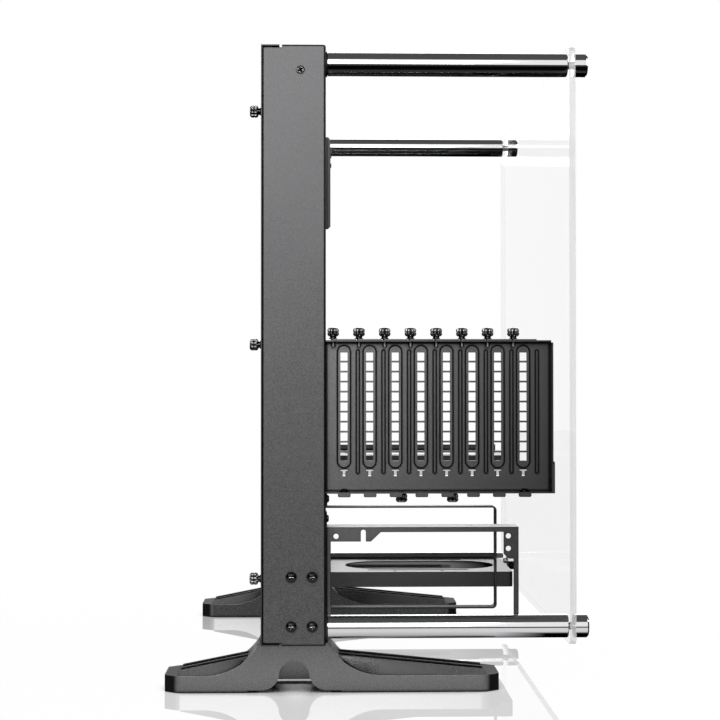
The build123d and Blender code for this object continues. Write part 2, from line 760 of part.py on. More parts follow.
with BuildPart() as slot_bracket:
    with BuildSketch(Plane.XZ.offset(-bracket_face)):
        with Locations((bracket_centre_x, bracket_centre_z)):
            Rectangle(bracket_reach, bracket_height)
    extrude(amount=-sheet)
    with BuildSketch(Plane.XY.offset(bracket_bottom)):
        with Locations((panel_front, bracket_edge_y)):
            Rectangle(bracket_reach + sheet, bracket_flange + sheet, align=(Align.MIN, Align.MIN))
        with Locations([(x, under_thumb_y) for x in under_thumb_xs]):
            Circle(thumb_hole, mode=Mode.SUBTRACT)
        with Locations([(x, bracket_flange_y) for x in under_screw_xs]):
            Circle(small_hole, mode=Mode.SUBTRACT)
    extrude(amount=sheet)
    with BuildSketch(Plane.XY.offset(bracket_top)):
        with Locations((panel_front, bracket_edge_y)):
            Rectangle(
                bracket_reach - bracket_end_relief, bracket_flange + sheet, align=(Align.MIN, Align.MIN)
            )
        with Locations([(x, bracket_flange_y) for x in thumb_xs]):
            Circle(thumb_hole, mode=Mode.SUBTRACT)
    extrude(amount=-sheet)
    # Flange at the window end, clinched to a tab that stands up from the bottom flange
    with BuildSketch(Plane.YZ.offset(bracket_right)):
        with Locations((bracket_edge_y, bracket_bottom)):
            Rectangle(
                bracket_flange + sheet, bracket_height - bracket_end_relief, align=(Align.MIN, Align.MIN)
            )
    extrude(amount=-sheet)
    with BuildSketch(Plane.YZ.offset(bracket_right)):
        with Locations((bracket_edge_y, bracket_bottom)):
            RectangleRounded(
                bracket_flange, end_tab_height, end_tab_corner, align=(Align.MIN, Align.MIN)
            )
            Rectangle(bracket_flange, end_tab_height / 2, align=(Align.MIN, Align.MIN))
    extrude(amount=sheet)
    with BuildSketch(Plane.YZ.offset(bracket_right)):
        with Locations((bracket_flange_y, bracket_bottom + clinch_rise)):
            Circle(clinch_diameter / 2)
    extrude(amount=-sheet - clinch_height)
    # Foot that is screwed to the panel
    with BuildSketch(Plane.XZ.offset(-bracket_face)):
        with Locations((panel_front + sheet / 2, bracket_centre_z - bracket_foot_drop / 2)):
            Rectangle(sheet, bracket_height + bracket_foot_drop)
    extrude(amount=-sheet - bracket_foot)
    # Slot windows, the T-shaped slots under them and the grooved ribs between them
    with BuildSketch(Plane.XZ.offset(-bracket_face)):
        with Locations([(x, slot_window_z) for x in slot_xs]):
            SlotOverall(slot_window_length, slot_window_width, rotation=90)
        with Locations([(x, tongue_z) for x in slot_xs]):
            Rectangle(tongue_slot_width, tongue_slot_height)
        with Locations([(x, tongue_z) for x in slot_xs]):
            Rectangle(tongue_stem_width, tongue_stem_height, align=(Align.CENTER, Align.MAX))
    extrude(amount=-sheet, mode=Mode.SUBTRACT)
    with BuildSketch(Plane.XZ.offset(-bracket_face)):
        with Locations([(x + bead_offset, bead_z) for x in slot_xs]):
            SlotOverall(bead_length, bead_width, rotation=90)
            SlotOverall(
                bead_length - 2 * bead_groove, bead_width - 2 * bead_groove, rotation=90, mode=Mode.SUBTRACT
            )
    extrude(amount=-bead_depth, mode=Mode.SUBTRACT)
    # Small tabs turned down from the bottom flange
    with BuildSketch(Plane.XZ.offset(-bracket_edge_y)):
        with Locations([(x, bracket_bottom + sheet) for x in slot_xs]):
            RectangleRounded(
                edge_tab_width,
                edge_tab_height + sheet,
                edge_tab_corner,
                align=(Align.CENTER, Align.MAX),
            )
    extrude(amount=-sheet)
    with BuildSketch(Plane.YZ.offset(panel_front)):
        with Locations([(bracket_foot_y, z) for z in bracket_foot_screws]):
            Circle(small_hole)
    extrude(amount=sheet, mode=Mode.SUBTRACT)
slot_bracket.part.label = "slot_bracket"
export_step(slot_bracket.part, "parts/slot_bracket.step")

# Slot covers: strips behind the bracket, embossed through its windows and perforated
cover_plate_low = bracket_top - cover_plate_drop
for number, x in enumerate(slot_xs, start=1):
    with BuildPart() as slot_cover:
        with BuildSketch(Plane.XZ.offset(-bracket_inner)):
            with Locations((x, cover_plate_low)):
                Rectangle(
                    cover_plate_width, cover_plate_drop + cover_plate, align=(Align.CENTER, Align.MIN)
                )
                Rectangle(cover_tongue_width, cover_tongue_length, align=(Align.CENTER, Align.MAX))
        extrude(amount=-cover_plate)
        with BuildSketch(Plane.XY.offset(bracket_top)):
            with Locations((x, bracket_edge_y)):
                Rectangle(
                    cover_plate_width, bracket_flange + sheet + cover_plate, align=(Align.CENTER, Align.MIN)
                )
            with Locations((x - thumbscrew_offset, bracket_flange_y)):
                Circle(thumb_hole, mode=Mode.SUBTRACT)
        extrude(amount=cover_plate)
        with BuildSketch(Plane.XZ.offset(-bracket_inner)):
            with Locations((x, slot_window_z)):
                SlotOverall(
                    slot_window_length - 2 * slot_pad_gap, slot_window_width - 2 * slot_pad_gap, rotation=90
                )
        extrude(amount=sheet)
        with BuildSketch(Plane.XZ.offset(-bracket_face)):
            with Locations((x, slot_window_z)):
                with GridLocations(0, vent_pitch, 1, vent_count):
                    Rectangle(vent_width, vent_height)
        extrude(amount=-sheet - cover_plate, mode=Mode.SUBTRACT)
    slot_cover.part.label = f"slot_cover_{number}"
    export_step(slot_cover.part, f"parts/slot_cover_{number}.step")

with BuildPart() as slot_thumbscrews:
    with Locations([(x, bracket_flange_y, bracket_top + cover_plate) for x in thumb_xs]):
        add(thumbscrew)
slot_thumbscrews.part.label = "slot_thumbscrews"
export_step(slot_thumbscrews.part, "parts/slot_thumbscrews.step")

with BuildPart() as bracket_thumbscrews:
    with Locations([Location((x, under_thumb_y, bracket_bottom), (180, 0, 0)) for x in under_thumb_xs]):
        add(low_thumbscrew)
bracket_thumbscrews.part.label = "bracket_thumbscrews"
export_step(bracket_thumbscrews.part, "parts/bracket_thumbscrews.step")

with BuildPart() as bracket_screws:
    with Locations([(x, bracket_flange_y, bracket_bottom + sheet) for x in under_screw_xs]):
        add(bracket_screw)
    with BuildSketch(Plane.XY.offset(bracket_bottom)):
        with Locations([(x, bracket_flange_y) for x in under_screw_xs]):
            RegularPolygon(nut_flats / 2, 6, major_radius=False)
    extrude(amount=-nut_height)
    for z in bracket_foot_screws:
        with Locations(Location((panel_front + sheet, bracket_foot_y, z), (0, 90, 0))):
            add(small_screw)
bracket_screws.part.label = "bracket_screws"
export_step(bracket_screws.part, "parts/bracket_screws.step")

# Power supply bracket: a folded frame whose lip carries the two upper screw ears
supply_middle_x = (panel_front + supply_outer_x) / 2
supply_middle_z = (supply_bottom + supply_top) / 2
supply_outer_width = supply_outer_x - panel_front
ear_low = supply_top - supply_ear_height
spare_low = ear_low - supply_spare_hole_drop
right_hole_x = supply_hole_x + supply_hole_span

with BuildPart() as psu_bracket:
    with BuildSketch(Plane.XZ.offset(-supply_face)):
        with Locations((supply_middle_x, supply_middle_z)):
            Rectangle(supply_outer_width, supply_outer_height)
            Rectangle(
                supply_outer_width - 2 * supply_sheet,
                supply_outer_height - 2 * supply_sheet,
                mode=Mode.SUBTRACT,
            )
    extrude(amount=-supply_band)
    with BuildSketch(Plane.XZ.offset(-supply_face)):
        with Locations((supply_middle_x, supply_middle_z)):
            Rectangle(supply_outer_width, supply_outer_height)
        with Locations((supply_middle_x, supply_bottom + supply_sheet)):
            Rectangle(
                supply_outer_width - 2 * supply_lip,
                supply_outer_height - supply_sheet - supply_lip,
                align=(Align.CENTER, Align.MIN),
                mode=Mode.SUBTRACT,
            )
        # Left ear with its hook, and right ear
        with BuildLine():
            Polyline(
                (panel_front, supply_top),
                (panel_front, ear_low),
                (panel_front + supply_ear_width, ear_low),
                (panel_front + supply_ear_width, supply_top - supply_lip),
                (panel_front + supply_ear_width + supply_lip, supply_top - supply_lip),
                (panel_front + supply_ear_width + supply_lip, ear_low),
                (panel_front + supply_ear_width + 2 * supply_lip, ear_low),
                (panel_front + supply_ear_width + 4 * supply_lip, supply_top - supply_lip),
                (panel_front + supply_ear_width + 4 * supply_lip, supply_top),
                close=True,
            )
        make_face()
        with BuildLine():
            Polyline(
                (supply_outer_x, supply_top),
                (supply_outer_x, spare_low - supply_lip),
                (supply_outer_x - 2 * supply_lip, spare_low - supply_lip),
                (supply_outer_x - 3 * supply_lip, spare_low),
                (supply_outer_x - 3 * supply_lip, supply_top),
                close=True,
            )
        make_face()
        with Locations((panel_front + supply_ear_width + supply_lip / 2, supply_top - supply_lip)):
            Circle(supply_lip / 2, mode=Mode.SUBTRACT)
        with Locations((supply_hole_x, supply_hole_z), (right_hole_x, supply_hole_z)):
            Circle(supply_hole_diameter / 2, mode=Mode.SUBTRACT)
        with Locations((right_hole_x, supply_hole_z - supply_spare_hole_drop)):
            Circle(supply_hole_diameter / 2, mode=Mode.SUBTRACT)
    extrude(amount=-supply_sheet)
    with BuildSketch(Plane.YZ.offset(panel_front)):
        with Locations((supply_foot_y, supply_top)):
            Rectangle(hoop_foot, hoop_foot, align=(Align.CENTER, Align.MIN))
        with Locations((supply_foot_y, supply_top + hoop_foot / 2)):
            Circle(small_hole, mode=Mode.SUBTRACT)
    extrude(amount=supply_sheet)
psu_bracket.part.label = "psu_bracket"
export_step(psu_bracket.part, "parts/psu_bracket.step")

# Power supply hoop: a strip bent round the supply, open to the panel
with BuildPart() as psu_hoop:
    with BuildSketch(Plane.XZ.offset(-hoop_y)):
        for depth, mode in ((0, Mode.ADD), (hoop_sheet, Mode.SUBTRACT)):
            with BuildLine():
                FilletPolyline(
                    (panel_front, hoop_bottom + depth),
                    (hoop_outer_x - depth, hoop_bottom + depth),
                    (hoop_outer_x - depth, hoop_top - depth),
                    (panel_front, hoop_top - depth),
                    radius=hoop_corner - depth,
                )
                Line((panel_front, hoop_top - depth), (panel_front, hoop_bottom + depth))
            make_face(mode=mode)
    extrude(amount=hoop_band / 2, both=True)
    with BuildSketch(Plane.YZ.offset(panel_front)):
        with Locations((hoop_y, hoop_top)):
            Rectangle(hoop_band, hoop_foot, align=(Align.CENTER, Align.MIN))
        with Locations((hoop_y, hoop_top + hoop_foot / 2)):
            Circle(small_hole, mode=Mode.SUBTRACT)
    extrude(amount=hoop_sheet)
psu_hoop.part.label = "psu_hoop"
export_step(psu_hoop.part, "parts/psu_hoop.step")

with BuildPart() as psu_screws:
    foot_z = supply_top + hoop_foot / 2
    with Locations(Location((panel_front + supply_sheet, supply_foot_y, foot_z), (0, 90, 0))):
        add(small_screw)
    with Locations(Location((panel_front + hoop_sheet, hoop_y, hoop_top + hoop_foot / 2), (0, 90, 0))):
        add(small_screw)
psu_screws.part.label = "psu_screws"
export_step(psu_screws.part, "parts/psu_screws.step")

# Drive trays: shelves with flanges turned down on three sides and up on the far side
drive_tray_x = panel_front + drive_tray_reach / 2
drive_tray_far = drive_tray_y + drive_tray_width / 2
upstand_length = drive_tray_reach - 4 * bend_radius
for level, top in zip(("lower", "upper"), drive_tray_tops):
    with BuildPart() as drive_tray:
        with BuildSketch(Plane.XY.offset(top)):
            with Locations((drive_tray_x, drive_tray_y)):
                Rectangle(drive_tray_reach, drive_tray_width)
        extrude(amount=-drive_tray_flange)
        fillet(drive_tray.edges().filter_by(Axis.Z).group_by(Axis.X)[-1], 2 * bend_radius)
        offset(amount=-sheet, openings=drive_tray.faces().sort_by(Axis.Z)[0])
        with BuildSketch(Plane.XZ.offset(-drive_tray_far)):
            with Locations((drive_tray_x, top - sheet)):
                Rectangle(upstand_length, drive_tray_flange, align=(Align.CENTER, Align.MAX))
        extrude(amount=sheet, mode=Mode.SUBTRACT)
        with BuildSketch(Plane.XZ.offset(-drive_tray_far)):
            with Locations((drive_tray_x, top)):
                Rectangle(upstand_length, drive_tray_upstand, align=(Align.CENTER, Align.MIN))
        extrude(amount=sheet)
        with BuildSketch(Plane.XY.offset(top)):
            with Locations((drive_tray_x + drive_window_shift, drive_tray_y)):
                SlotOverall(drive_window_length, drive_window_width)
            with Locations((drive_tray_x, drive_tray_y)):
                with GridLocations(drive_hole_x, drive_hole_y, 2, 2):
                    Circle(drive_hole_diameter / 2)
                with GridLocations(0, (drive_window_width + drive_hole_y) / 2, 1, 2):
                    SlotOverall(drive_slot_length, drive_slot_width)
        extrude(amount=-sheet, mode=Mode.SUBTRACT)
        with BuildSketch(Plane.YZ.offset(panel_front)):
            with Locations([(y, top - drive_tray_flange / 2) for y in drive_screw_ys]):
                Circle(small_hole)
        extrude(amount=sheet, mode=Mode.SUBTRACT)
    drive_tray.part.label = f"{level}_drive_tray"
    export_step(drive_tray.part, f"parts/{level}_drive_tray.step")

with BuildPart() as tray_screws:
    for top in drive_tray_tops:
        seat = (panel_front + sheet, top - drive_tray_flange / 2)
        with Locations([Location((seat[0], y, seat[1]), (0, 90, 0)) for y in drive_screw_ys]):
            add(small_screw)
tray_screws.part.label = "tray_screws"
export_step(tray_screws.part, "parts/tray_screws.step")

# Bezel for the switches and sockets, with pillars that carry their circuit board
pillar_inset = 2 * bezel_bevel + board_pillar / 2 + button_clearance
pillar_zs = (bezel_bottom + pillar_inset, bezel_top - pillar_inset)
with BuildPart() as io_bezel:
    with BuildSketch(Plane.YZ.offset(panel_front)):
        with Locations((bezel_y, bezel_middle)):
            Rectangle(bezel_width, bezel_height)
    extrude(amount=bezel_proud)
    chamfer(io_bezel.faces().sort_by(Axis.X)[-1].edges(), bezel_bevel)
    with BuildSketch(Plane.YZ.offset(panel_front)):
        with Locations((bezel_y, power_z)):
            Circle(power_diameter / 2 + button_clearance)
        with Locations((bezel_y, reset_z)):
            Circle(reset_diameter / 2 + button_clearance)
        with Locations([(bezel_y, z) for z in usb_zs]):
            Rectangle(usb_width + screw_clearance, usb_height + screw_clearance)
        with Locations([(bezel_y, z) for z in jack_zs]):
            Circle((jack_diameter + screw_clearance) / 2)
    extrude(amount=bezel_proud, mode=Mode.SUBTRACT)
    with BuildSketch(Plane.YZ.offset(panel_front)):
        with Locations([(bezel_y, z) for z in pillar_zs]):
            Circle(board_pillar / 2)
    extrude(amount=board_front - panel_front)
io_bezel.part.label = "io_bezel"
export_step(io_bezel.part, "parts/io_bezel.step")

# Circuit board behind the panel, with its two push switches
with BuildPart() as io_board:
    with BuildSketch(Plane.YZ.offset(board_front)):
        with Locations((bezel_y, bezel_middle)):
            Rectangle(bezel_width - bezel_bevel, bezel_height - 2 * bezel_bevel)
    extrude(amount=-board_sheet)
io_board.part.label = "io_board"
export_step(io_board.part, "parts/io_board.step")

with BuildPart() as push_switches:
    with BuildSketch(Plane.YZ.offset(board_front)):
        with Locations((bezel_y, power_z), (bezel_y, reset_z)):
            Rectangle(switch_width, switch_width)
    extrude(amount=switch_height)
    with BuildSketch(Plane.YZ.offset(board_front + switch_height)):
        with Locations((bezel_y, power_z), (bezel_y, reset_z)):
            Circle(switch_plunger / 2)
    extrude(amount=switch_plunger_height)
push_switches.part.label = "push_switches"
export_step(push_switches.part, "parts/push_switches.step")

# Buttons: caps that slide in the bezel, with stems that reach back to the switches
stem_end = board_front + switch_height + switch_plunger_height + button_travel + button_clearance
cap_back = panel_front + button_travel + button_clearance
for name, diameter, z in (("power", power_diameter, power_z), ("reset", reset_diameter, reset_z)):
    with BuildPart() as button:
        with BuildSketch(Plane((cap_back, bezel_y, z), x_dir=(0, 1, 0), z_dir=(1, 0, 0))):
            Circle(diameter / 2)
        extrude(amount=bezel_front + button_proud - cap_back)
        chamfer(button.edges().filter_by(GeomType.CIRCLE).sort_by(Axis.X)[-1], button_proud / 2)
        with BuildSketch(Plane((cap_back, bezel_y, z), x_dir=(0, 1, 0), z_dir=(1, 0, 0))):
            Circle(button_stem / 2)
        extrude(amount=stem_end - cap_back)
    button.part.label = f"{name}_button"
    export_step(button.part, f"parts/{name}_button.step")

# Sockets that stand on the board and end flush with the bezel
with BuildPart() as usb_sockets:
    with BuildSketch(Plane.YZ.offset(board_front)):
        with Locations([(bezel_y, z) for z in usb_zs]):
            Rectangle(usb_width, usb_height)
    extrude(amount=bezel_front - board_front)
    with BuildSketch(Plane.YZ.offset(bezel_front)):
        with Locations([(bezel_y, z) for z in usb_zs]):
            Rectangle(usb_width - 2 * usb_wall, usb_height - 2 * usb_wall)
    extrude(amount=-usb_depth, mode=Mode.SUBTRACT)
    with BuildSketch(Plane.YZ.offset(bezel_front - usb_depth)):
        with Locations([(bezel_y + usb_tongue_offset, z) for z in usb_zs]):
            Rectangle(usb_tongue, usb_height - 4 * usb_wall)
    extrude(amount=usb_depth - usb_wall)
usb_sockets.part.label = "usb_sockets"
export_step(usb_sockets.part, "parts/usb_sockets.step")

with BuildPart() as audio_sockets:
    with BuildSketch(Plane.YZ.offset(board_front)):
        with Locations([(bezel_y, z) for z in jack_zs]):
            Circle(jack_diameter / 2)
    extrude(amount=bezel_front - board_front)
    with BuildSketch(Plane.YZ.offset(bezel_front)):
        with Locations([(bezel_y, z) for z in jack_zs]):
            Circle(jack_bore / 2)
    extrude(amount=-usb_depth, mode=Mode.SUBTRACT)
audio_sockets.part.label = "audio_sockets"
export_step(audio_sockets.part, "parts/audio_sockets.step")
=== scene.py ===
import json
import math

import bmesh
import bpy
from mathutils import Euler, Matrix, Vector


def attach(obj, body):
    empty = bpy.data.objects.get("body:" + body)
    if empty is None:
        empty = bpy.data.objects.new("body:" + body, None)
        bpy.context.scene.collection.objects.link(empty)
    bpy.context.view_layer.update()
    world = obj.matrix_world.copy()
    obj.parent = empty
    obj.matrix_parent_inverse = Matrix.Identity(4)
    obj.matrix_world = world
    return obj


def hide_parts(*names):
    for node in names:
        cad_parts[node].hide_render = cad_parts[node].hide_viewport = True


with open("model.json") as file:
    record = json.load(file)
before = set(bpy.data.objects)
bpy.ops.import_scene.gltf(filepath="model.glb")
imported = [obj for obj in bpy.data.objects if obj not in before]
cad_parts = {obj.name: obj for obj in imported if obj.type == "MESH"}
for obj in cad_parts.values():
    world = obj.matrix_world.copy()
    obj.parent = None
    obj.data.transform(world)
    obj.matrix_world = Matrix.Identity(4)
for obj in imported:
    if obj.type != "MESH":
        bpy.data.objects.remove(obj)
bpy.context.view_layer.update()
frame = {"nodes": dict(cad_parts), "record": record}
nodes = frame["nodes"]
scene = bpy.context.scene
for obj in nodes.values():
    obj.data.materials.clear()
for plain in list(bpy.data.materials):
    bpy.data.materials.remove(plain)

# Camera at the photograph's place: level with the slot bracket, a little to the left of the panel
CAMERA_PLACE = (-0.0433, -1.4506, 0.2476)
CAMERA_PITCH = 90.72
CAMERA_ROLL = -0.014
CAMERA_YAW = -1.417
CAMERA_LENS = 77.5

# Places of the screws, in metres, as the solids have them
SHEET = 0.0012
SUPPLY_SHEET = 0.0010
HOOP_SHEET = 0.0015
PANEL_FRONT = -0.0400
PANEL_BACK = -0.0412
WALL_Y = 0.235
TRAY_TOP = 0.511
SEAM_START = 0.0014
SEAM_FULL = 0.0011
COVER_BACK = -0.0910
COVER_SCREW_Y = 0.228
COVER_SCREW_Z = 0.275
COVER_SCREW_STEP = 0.184
SLOT_PITCH = 0.02032
SLOT_XS = [-0.0256 + k * SLOT_PITCH for k in range(8)]
FLANGE_Y = -0.229
BRACKET_TOP = 0.2794
BRACKET_BOTTOM = 0.158
# Near-black used for painted shade in recesses, flutes and along rims.
BLACK = (0.004, 0.004, 0.004)
TONGUE_HIGHLIGHT = (0.6, 0.6, 0.61)
COVER_LOW = 0.1759


def node_tree(name):
    """New material with an empty node tree, its output and a principled shader."""
    made = bpy.data.materials.new(name)
    made.use_nodes = True
    tree = made.node_tree
    tree.nodes.clear()
    out = tree.nodes.new("ShaderNodeOutputMaterial")
    shader = tree.nodes.new("ShaderNodeBsdfPrincipled")
    tree.links.new(shader.outputs["BSDF"], out.inputs["Surface"])
    return made, tree, shader


def noise(tree, scale, detail=3.0, stretch=None):
    """Noise in the object's own metres, stretched along an axis where a grain runs."""
    place = tree.nodes.new("ShaderNodeTexCoord")
    source = place.outputs["Object"]
    if stretch:
        mapping = tree.nodes.new("ShaderNodeMapping")
        mapping.inputs["Scale"].default_value = stretch
        tree.links.new(source, mapping.inputs["Vector"])
        source = mapping.outputs["Vector"]
    texture = tree.nodes.new("ShaderNodeTexNoise")
    texture.inputs["Scale"].default_value = scale
    texture.inputs["Detail"].default_value = detail
    tree.links.new(source, texture.inputs["Vector"])
    return texture.outputs["Fac"]


def spread(tree, source, low, high, start=0.3, end=0.7):
    """Maps a texture's middle range to low and high."""
    ramp = tree.nodes.new("ShaderNodeMapRange")
    ramp.inputs["From Min"].default_value = start
    ramp.inputs["From Max"].default_value = end
    ramp.inputs["To Min"].default_value = low
    ramp.inputs["To Max"].default_value = high
    tree.links.new(source, ramp.inputs["Value"])
    return ramp.outputs["Result"]


def feed(tree, value, socket):
    """Links another socket, or sets a number or a colour."""
    if isinstance(value, bpy.types.NodeSocket):
        tree.links.new(value, socket)
    elif isinstance(value, tuple):
        socket.default_value = (*value, 1.0)
    else:
        socket.default_value = value


def calc(tree, operation, *values):
    """Result of a math node on sockets or numbers."""
    node = tree.nodes.new("ShaderNodeMath")
    node.operation = operation
    for value, socket in zip(values, node.inputs):
        feed(tree, value, socket)
    return node.outputs["Value"]


def axes_of(tree, kind):
    """X, Y and Z of the object's own place, normal or direction."""
    place = tree.nodes.new("ShaderNodeTexCoord")
    axes = tree.nodes.new("ShaderNodeSeparateXYZ")
    tree.links.new(place.outputs[kind], axes.inputs["Vector"])
    return axes.outputs["X"], axes.outputs["Y"], axes.outputs["Z"]


def mixed(tree, factor, first, second):
    """Colour between two colours, each a socket or a tuple."""
    mix = tree.nodes.new("ShaderNodeMix")
    mix.data_type = "RGBA"
    for name, value in (("Factor", factor), ("A", first), ("B", second)):
        feed(tree, value, mix.inputs[name])
    return mix.outputs["Result"]


def blended(tree, factor, first, second):
    """Number between two numbers, each a socket or a value."""
    mix = tree.nodes.new("ShaderNodeMix")
    for name, value in (("Factor", factor), ("A", first), ("B", second)):
        feed(tree, value, mix.inputs[name])
    return mix.outputs["Result"]


def rounded_normal(tree, radius):
    """Normal that rounds the edges of a sheet by a small radius."""
    bevel = tree.nodes.new("ShaderNodeBevel")
    bevel.samples = 4
    bevel.inputs["Radius"].default_value = radius
    return bevel.outputs["Normal"]


def edge_mask(tree, normal):
    """One along edges, where the rounded normal leaves the face's own."""
    geometry = tree.nodes.new("ShaderNodeNewGeometry")
    dot = tree.nodes.new("ShaderNodeVectorMath")
    dot.operation = "DOT_PRODUCT"
    tree.links.new(normal, dot.inputs[0])
    tree.links.new(geometry.outputs["Normal"], dot.inputs[1])
    return spread(tree, dot.outputs["Value"], 1.0, 0.0, 0.75, 0.98)


def bend_mask(tree):
    """One on bent and sloped faces and in the seam on top, where painted shade goes; zero on faces square to
    an axis.
    """
    x, y, z = (calc(tree, "ABSOLUTE", axis) for axis in axes_of(tree, "Normal"))
    most = calc(tree, "MAXIMUM", calc(tree, "MAXIMUM", x, y), z)
    bend_shade = spread(tree, most, 1.0, 0.0, 0.92, 0.985)
    height = axes_of(tree, "Object")[2]
    top = spread(tree, height, 0.0, 1.0, TRAY_TOP - SEAM_START, TRAY_TOP - SEAM_FULL)
    return calc(tree, "MAXIMUM", bend_shade, calc(tree, "MULTIPLY", y, top))


def crevice(tree, reach, start, end, local=False):
    """Zero deep in a gap or corner, one on an open face."""
    occlusion = tree.nodes.new("ShaderNodeAmbientOcclusion")
    occlusion.samples = 6
    occlusion.only_local = local
    occlusion.inputs["Distance"].default_value = reach
    return spread(tree, occlusion.outputs["AO"], 0.0, 1.0, start, end)


def coated(
    name, color, rough, grain=1300.0, grain_depth=0.00012, mottle=0.25, edge=1.0, radius=0.0006, gap=0.004,
    metal=0.0, matt=None, shade_ramp=None, dark=(0.5, 0.9), gap_shade_level=0.12, rim=None, bend_shade=None, tongue=None,
):
    """Powder coat or moulded plastic: fine grain, slight mottle, painted highlights on pale edges and painted
    shade on dark edges, and painted shade in gaps.
    """
    made, tree, shader = node_tree(name)
    pale = tuple(min(1.0, c * (1 + mottle)) for c in color)
    deep = tuple(c * (1 - mottle) for c in color)
    fine = noise(tree, grain, 2.0)
    broad = noise(tree, 9.0, 4.0)
    base = mixed(tree, spread(tree, fine, 0.0, 1.0), deep, pale)
    cloud = mixed(tree, spread(tree, broad, 0.0, 0.25), base, pale)
    normal = rounded_normal(tree, radius)
    # Painted edge light: a positive edge paints highlights along edges, a negative one paints shade there.
    painted_edge = tuple(max(0.0, min(1.0, c * (1 + edge))) for c in color)
    shader.inputs["Metallic"].default_value = metal
    roughness = spread(tree, fine, rough - 0.05, rough + 0.07)
    if matt:
        region, color_there, rough_there, dull = matt(tree)
        cloud = mixed(tree, region, cloud, color_there)
        tree.links.new(spread(tree, region, metal, 0.0, 0.0, 1.0), shader.inputs["Metallic"])
        roughness = blended(tree, region, roughness, rough_there)
        tree.links.new(spread(tree, dull, 0.5, 0.0, 0.0, 1.0), shader.inputs["Specular IOR Level"])
    # Painted shade: the colour darkens to 0.4 of itself along this ramp, towards where less light falls.
    if shade_ramp:
        cloud = mixed(tree, shade_ramp(tree), cloud, tuple(c * 0.4 for c in color))
    # Painted shade on bent and sloped faces and in the top seam.
    if bend_shade:
        cloud = mixed(tree, bend_mask(tree), cloud, bend_shade)
    border = rounded_normal(tree, rim) if rim else normal
    skin = mixed(tree, edge_mask(tree, border), cloud, painted_edge)
    # Painted shade: gaps and corners found by ambient occlusion are darkened to a fraction of the colour.
    gap_shade = tuple(c * gap_shade_level for c in color)
    skin = mixed(tree, crevice(tree, gap, *dark), gap_shade, skin)
    # Painted light: the tongues behind the T-slots are painted pale, as lit steel.
    if tongue:
        skin = mixed(tree, tongue(tree), skin, TONGUE_HIGHLIGHT)
    tree.links.new(skin, shader.inputs["Base Color"])
    tree.links.new(roughness, shader.inputs["Roughness"])
    bump = tree.nodes.new("ShaderNodeBump")
    bump.inputs["Strength"].default_value = 0.35
    bump.inputs["Distance"].default_value = grain_depth
    tree.links.new(fine, bump.inputs["Height"])
    tree.links.new(normal, bump.inputs["Normal"])
    tree.links.new(bump.outputs["Normal"], shader.inputs["Normal"])
    return made


def plated(
    name, color, rough, grain=(900.0, 900.0, 40.0), variation=0.04, radius=0.0003, recess_wear_and_shade=None,
    within=(0.0014, 0.4, 0.75, True), rim=None,
):
    """Polished or brushed metal with a faint directional grain, and its own colour in its recesses:
    worn-through metal on some screws, painted shade on others.
    """
    made, tree, shader = node_tree(name)
    lines = noise(tree, 1.0, 2.0, grain)
    clouds = noise(tree, 14.0, 3.0)
    dull = tuple(c * (1 - variation) for c in color)
    skin = mixed(tree, spread(tree, clouds, 0.0, 1.0), color, dull)
    # Recess colour from ambient occlusion: worn-through metal on some screws, painted shade on others.
    if recess_wear_and_shade:
        skin = mixed(tree, crevice(tree, *within), recess_wear_and_shade, skin)
    # Painted shade: a black ring along the rim.
    if rim:
        skin = mixed(tree, edge_mask(tree, rounded_normal(tree, rim)), skin, BLACK)
    tree.links.new(skin, shader.inputs["Base Color"])
    tree.links.new(spread(tree, lines, rough * 0.75, rough * 1.3), shader.inputs["Roughness"])
    shader.inputs["Metallic"].default_value = 1.0
    tree.links.new(rounded_normal(tree, radius), shader.inputs["Normal"])
    return made


def clear_sheet(name, color, edge_color, cover, edge_cover):
    """Clear polished acrylic: see-through faces with a faint haze, and milky sawn edges."""
    made, tree, shader = node_tree(name)
    facing = calc(tree, "ABSOLUTE", axes_of(tree, "Normal")[0])
    geometry = tree.nodes.new("ShaderNodeNewGeometry")
    rim = spread(tree, facing, 1.0, 0.0, 0.4, 0.6)
    inside = spread(tree, geometry.outputs["Backfacing"], edge_cover, edge_cover * 0.2, 0.0, 1.0)
    streaks = noise(tree, 1.0, 3.0, (260.0, 260.0, 18.0))
    milky = mixed(tree, spread(tree, streaks, 0.0, 1.0), edge_color, tuple(c * 0.9 for c in edge_color))
    tree.links.new(mixed(tree, rim, color, milky), shader.inputs["Base Color"])
    haze = spread(tree, noise(tree, 40.0, 5.0), cover * 0.95, cover * 1.05)
    arris = edge_mask(tree, rounded_normal(tree, 0.0007))
    level = blended(tree, arris, blended(tree, rim, haze, inside), 0.6)
    tree.links.new(level, shader.inputs["Alpha"])
    tree.links.new(spread(tree, streaks, 0.02, 0.06), shader.inputs["Roughness"])
    return made


FOOT_Y = 0.196
FOOT_MIDDLE_X = -0.035
DECK_RIB = 0.00175
DECK_GROOVE_END = 0.01225
DECK_LOW = 0.0145
TIP_TOP = 0.024


